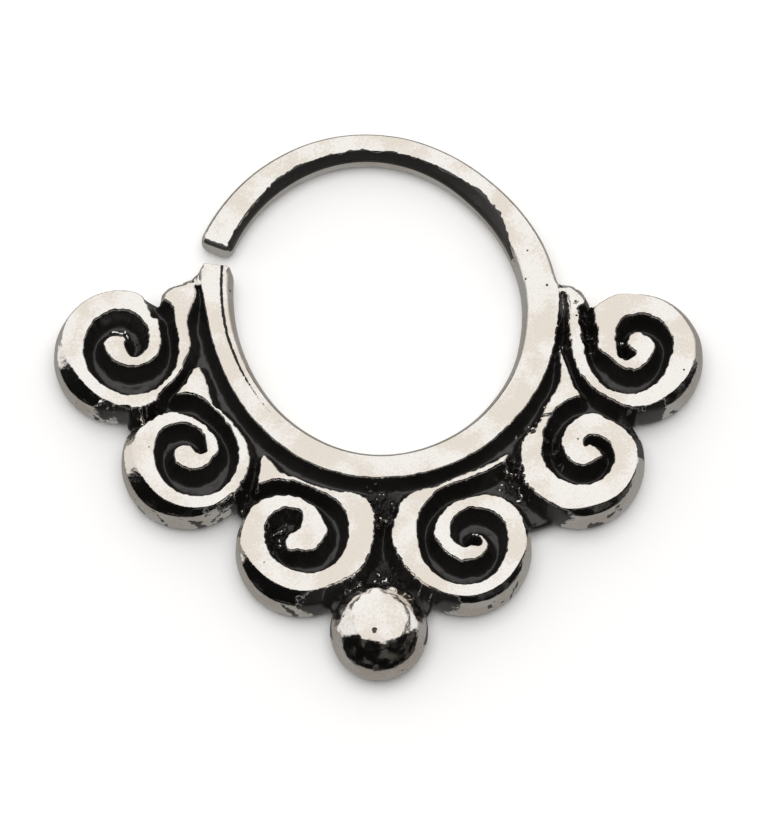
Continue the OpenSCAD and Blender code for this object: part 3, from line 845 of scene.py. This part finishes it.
studio = {
    "floorSize": 0.6,
    "floorTone": (0.93, 0.93, 0.93, 1),
    "paleTone": (0.96, 0.96, 0.96, 1),   # what the camera sees past the floor
    "domeAxis": (0.0, 0.415, 0.91),      # the middle of the overhead light, a little behind the ring
    "domeEdge": 0.42,                    # cosine of its half width
    "domeTone": (0.93, 0.915, 0.895, 1),
    "cardEdge": 0.7,                     # how far to each side the pale cards start
    "cardTone": (0.85, 0.84, 0.83, 1),
    "darkTone": (0.004, 0.004, 0.004, 1),
    "smearTone": (0.07, 0.068, 0.065, 1),  # faint patches in the dark part
    "lowTone": (0.30, 0.29, 0.275, 1),   # what the low sides mirror
    "lampSize": 0.3,
    "lampPower": 0.75,
    "lampPlace": (0.0, 0.02, 0.4),
    "distance": 0.6,
    "elevation": 72.0,
    "target": (0.087, -3.856, 1.0),      # what the middle of the picture shows, in millimetres
    "pictureWidth": 26.354,              # width of the view there, in millimetres
}


def makeFloor():
    half = studio["floorSize"] / 2
    data = bpy.data.meshes.new("floor")
    corners = [(-half, -half, 0), (half, -half, 0), (half, half, 0), (-half, half, 0)]
    data.from_pydata(corners, [], [(0, 1, 2, 3)])
    floor = bpy.data.objects.new("floor", data)
    bpy.context.scene.collection.objects.link(floor)
    made = bpy.data.materials.new("paleFloor")
    made.use_nodes = True
    shader = made.node_tree.nodes["Principled BSDF"]
    shader.inputs["Base Color"].default_value = studio["floorTone"]
    shader.inputs["Roughness"].default_value = 0.9
    shader.inputs["Specular IOR Level"].default_value = 0.0
    data.materials.append(made)
    floor.visible_glossy = False  # the metal mirrors the studio's own low tone instead


def makeStudio():
    world = bpy.data.worlds.new("studio")
    bpy.context.scene.world = world
    world.use_nodes = True
    tree = world.node_tree
    tree.nodes.clear()
    ray = addNode(tree, "ShaderNodeTexCoord").outputs["Generated"]
    toSide, toBack, up = addNode(tree, "ShaderNodeSeparateXYZ", Vector=ray).outputs
    along = addNode(tree, "ShaderNodeVectorMath", {"operation": "DOT_PRODUCT"}, i0=ray,
                    i1=studio["domeAxis"]).outputs["Value"]
    edge = studio["domeEdge"]
    dome = stepped(tree, along, edge - 0.03, edge + 0.03)

    # the low tone starts lower in front than at the sides and behind
    front = stepped(tree, calc(tree, "MULTIPLY", toBack, -1.0), 0.1, 0.5)
    lowLine = calc(tree, "MULTIPLY_ADD", front, -0.32, -0.24)
    low = stepped(tree, calc(tree, "SUBTRACT", lowLine, up), -0.04, 0.04)
    patches = noise(tree, ray, 3.0, 2.0)
    tone = mixed(tree, stepped(tree, patches, 0.5, 0.68), studio["darkTone"], studio["smearTone"])
    tone = mixed(tree, low, tone, studio["lowTone"])

    # a card stands at each side, behind a slanted line; on the right a dark gap parts it from the dome
    cardLine = calc(tree, "MULTIPLY_ADD", toSide, -0.12, calc(tree, "MULTIPLY_ADD", up, 0.3, toBack))
    aside = calc(tree, "SUBTRACT", calc(tree, "ABSOLUTE", toSide), studio["cardEdge"])
    card = calc(tree, "MULTIPLY", stepped(tree, aside, 0.0, 0.06), stepped(tree, cardLine, -0.1, 0.02))
    card = calc(tree, "MULTIPLY", card, stepped(tree, up, -0.26, -0.2))
    gap = calc(tree, "MULTIPLY", stepped(tree, toSide, -0.1, 0.1), 0.08)
    past = stepped(tree, calc(tree, "ADD", along, gap), edge + 0.02, edge - 0.02)
    card = calc(tree, "MULTIPLY", card, past)
    tone = mixed(tree, card, tone, studio["cardTone"])
    tone = mixed(tree, dome, tone, studio["domeTone"])
    seen = addNode(tree, "ShaderNodeLightPath").outputs["Is Camera Ray"]
    background = addNode(tree, "ShaderNodeBackground", Color=mixed(tree, seen, tone, studio["paleTone"]))
    addNode(tree, "ShaderNodeOutputWorld", Surface=background.outputs[0])

    lamp = bpy.data.lights.new("overhead", "AREA")
    lamp.shape = "DISK"
    lamp.size = studio["lampSize"]
    lamp.energy = studio["lampPower"]
    light = bpy.data.objects.new("overhead", lamp)
    light.location = studio["lampPlace"]
    light.visible_glossy = False
    bpy.context.scene.collection.objects.link(light)


def makeCamera():
    data = bpy.data.cameras.new("camera")
    camera = bpy.data.objects.new("camera", data)
    bpy.context.scene.collection.objects.link(camera)
    up = math.radians(studio["elevation"])
    target = [value * mm for value in studio["target"]]
    camera.location = (target[0], target[1] - studio["distance"] * math.cos(up),
                       target[2] + studio["distance"] * math.sin(up))
    camera.rotation_euler = (math.radians(90.0 - studio["elevation"]), 0.0, 0.0)
    data.sensor_fit = "HORIZONTAL"
    data.sensor_width = 36.0
    data.lens = data.sensor_width * studio["distance"] / (studio["pictureWidth"] * mm)
    data.clip_start = 0.01
    bpy.context.scene.camera = camera


makeFloor()
makeStudio()
makeCamera()
bpy.context.scene.view_settings.view_transform = "Standard"
print("studio made")
